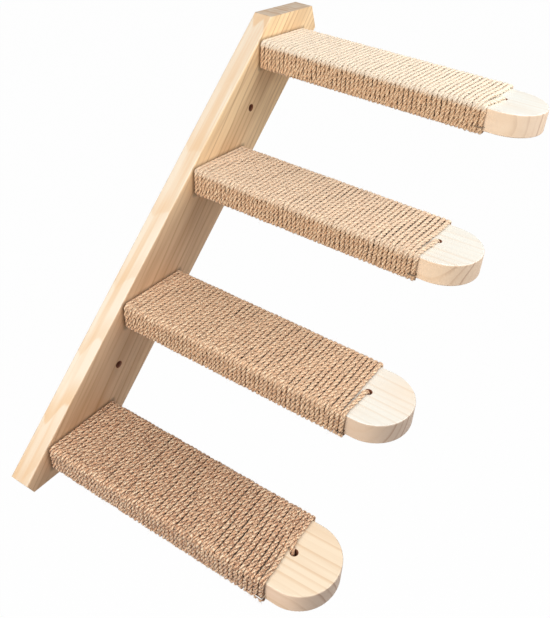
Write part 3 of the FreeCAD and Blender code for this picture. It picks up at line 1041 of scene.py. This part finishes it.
def wind(number):
    """Lays three strands and their loose fibres round one tread."""
    line = rope_line(number, number == BACKWARD)
    line = np.array(roots[number]) / MM + line * np.array([1, -1, 1])
    side = 1.0 if number == BACKWARD else -1.0
    for index in range(STRANDS):
        points, fibre, outer, height = strand(line, index, side, number * STRAND_SEED)
        points = pinched(points, number)
        rings, sides = points.shape[:2]
        piece = new_piece("jute_strand_%d_%s" % (number, "abc"[index]), points,
                          *tube_faces(rings, sides))
        tone = 0.5 + waves_along(fibre[:, 0, 0], number * TONE_SEED + index, TONE_WAVES)
        finish_jute(piece, number, fibre, tone=np.repeat(tone, sides),
                    hollow=np.clip(HOLLOW_FROM - outer, 0, 1), rise=height,
                    upper=upperness(points, number))
        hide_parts("jute_rope_%d" % number, "jute_wrap_%d" % number)
    points, quads, caps, shade = loose_fibres(line, side, number * HAIR_SEED)
    hairs = new_piece("jute_fuzz_%d" % number, points, quads, caps)
    finish_jute(hairs, number, points * HAIR_PATTERN, tone=shade * HAIR_TONE,
                hollow=np.zeros(len(points)), rise=np.full(len(points), HAIR_RISE),
                upper=upperness(points, number))
    length = np.linalg.norm(np.diff(line, axis=0), axis=1).sum()
    print("tread %d: %d rings a strand, rope %.2f m" % (number, rings, length * MM))


for number in TREADS:
    wind(number)

# %% [markdown]
# A staple is a bent flat wire, so it is made as the ropes are: a ring is carried along a
# line with two bends. The lowest one is bright, and the other three have dulled. The
# screws keep their CAD shapes, since only their heads show, and only from behind.

# %% Steel
STEEL_DARK = paint(120, 118, 112)
POLISH_SQUEEZE = (900, 900, 900)


def steel(name, colour, rough):
    """Metal with fine polishing marks, which darken it and make it rougher."""
    material, start, shader = new_material(name)
    polish = start.here().noise(POLISH_SQUEEZE, 3.0, 0.6)
    wire(shader, "Base Color", (polish * 0.35).blend(colour, STEEL_DARK))
    wire(shader, "Roughness", rough + polish * 0.15)
    shader.inputs["Metallic"].default_value = 1.0
    return material


bright_steel = steel("staple_steel", paint(240, 240, 236), 0.30)
dull_steel = steel("staple_dull", paint(142, 120, 100), 0.55)
screw_steel = steel("screw_steel", paint(196, 192, 180), 0.30)
print("steel materials:", [metal.name for metal in (bright_steel, dull_steel, screw_steel)])

# %% Staples and screws
STAPLE_BEND = 0.9
STAPLE_SIDES = 12
BEND_POINTS = 7
SQUARENESS = 0.6
# The tread whose staple is bright.
BRIGHT = 1


def staple(number):
    """A U of flat wire. A bend is x = cx - r sin a, y = cy -+ r cos a, for a up to 90 degrees.

    The wire's section is w |cos t|^0.6 by h |sin t|^0.6 with their signs, which is between
    an ellipse and a rectangle.
    """
    face, tips, legs, height = staple_line(number)
    a = np.radians(np.linspace(0, 90, BEND_POINTS))
    bend_x = face + STAPLE_HALF[0] + STAPLE_BEND * (1 - np.sin(a))
    bend_y = STAPLE_BEND * (1 - np.cos(a))
    x = np.concatenate([[tips], bend_x, bend_x[::-1], [tips]])
    y = np.concatenate([[legs[0]], legs[0] + bend_y, (legs[1] - bend_y)[::-1], [legs[1]]])
    line = np.stack([x, y, np.full_like(x, height)], 1)
    up = np.tile([[0.0, 0.0, 1.0]], (len(line), 1))
    outward = np.cross(up, unit(np.gradient(line, axis=0)))
    angle = 2 * np.pi * np.arange(STAPLE_SIDES) / STAPLE_SIDES
    flat = np.sign(np.cos(angle)) * np.abs(np.cos(angle)) ** SQUARENESS
    high = np.sign(np.sin(angle)) * np.abs(np.sin(angle)) ** SQUARENESS
    points = (line[:, None] + STAPLE_HALF[0] * flat[None, :, None] * outward[:, None]
              + STAPLE_HALF[1] * high[None, :, None] * up[:, None])
    piece = new_piece("staple_%d" % number, points, *tube_faces(len(line), STAPLE_SIDES))
    piece.data.materials.append(bright_steel if number == BRIGHT else dull_steel)
    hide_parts("rope_staple_%d" % number)
    print("staple %d: legs %.1f mm apart" % (number, legs[1] - legs[0]))


for number in TREADS:
    staple(number)
    for side in ("left", "right"):
        dress("tread_screw_%d_%s" % (number, side), screw_steel)

# %% [markdown]
# The ladder hangs on a wall, so the floor is well below it. It is a pale sheet that
# looks white to the camera and still takes a faint shadow. That white is light which
# only the camera and glossy reflections see, so it hardly adds to the light on the wood.
# The white room round it is the world, which is white to the camera and dim as a light.

# %% Floor
FLOOR_HEIGHT = -1.25
FLOOR_REACH = 40.0
FLOOR_PAINT = paint(236, 236, 236)
FLOOR_ROUGHNESS = 0.9
WHITE_SHARE = 0.985
WHITE = (1, 1, 1, 1)
# Which output of a Light Path node tells of each kind of ray.
CAMERA_RAY = 0
GLOSSY_RAY = 3
TRANSMISSION_RAY = 6


def white_to_camera(start, surface, share):
    """Mixes in white light of strength 1 for rays from the camera or from a mirror."""
    seen = start.add("ShaderNodeLightPath", output=CAMERA_RAY)
    for ray in (GLOSSY_RAY, TRANSMISSION_RAY):
        seen = seen.at_least(start.add("ShaderNodeLightPath", output=ray))
    glow = start.add("ShaderNodeEmission", None, {"Color": WHITE, "Strength": 1.0})
    return start.add("ShaderNodeMixShader", None, {0: seen * share, 1: surface, 2: glow})


corners = np.array([[-1, -1], [1, -1], [1, 1], [-1, 1]]) * FLOOR_REACH
floor_points = np.column_stack([corners, np.full(4, FLOOR_HEIGHT)])
floor = new_mesh("floor", floor_points, np.array([[0, 1, 2, 3]]))
floor_material, floor_start, floor_shader = new_material("pale_floor")
floor_shader.inputs["Base Color"].default_value = FLOOR_PAINT
floor_shader.inputs["Roughness"].default_value = FLOOR_ROUGHNESS
sheet = white_to_camera(floor_start, Signal(floor_start.tree, floor_shader.outputs[0]), WHITE_SHARE)
wire(floor_start.tree.nodes["Material Output"], "Surface", sheet)
floor.data.materials.append(floor_material)
print("the floor lies %.2f m below the board's middle" % -FLOOR_HEIGHT)

# %% White room
ROOM_LIGHT = 0.26
ROOM_SEEN = 0.99
room = bpy.data.worlds.new("white_room")
bpy.context.scene.world = room
room.use_nodes = True
sky = Signal(room.node_tree)
room_glow = sky.add("ShaderNodeBackground", None, {"Color": WHITE, "Strength": ROOM_LIGHT})
seen_glow = sky.add("ShaderNodeBackground", None, {"Color": WHITE, "Strength": ROOM_SEEN})
seen = sky.add("ShaderNodeLightPath", output=CAMERA_RAY)
mixed = sky.add("ShaderNodeMixShader", None, {0: seen, 1: room_glow, 2: seen_glow})
wire(room.node_tree.nodes["World Output"], "Surface", mixed)
print("the room lights the ladder with %.2f and looks %.2f bright" % (ROOM_LIGHT, ROOM_SEEN))
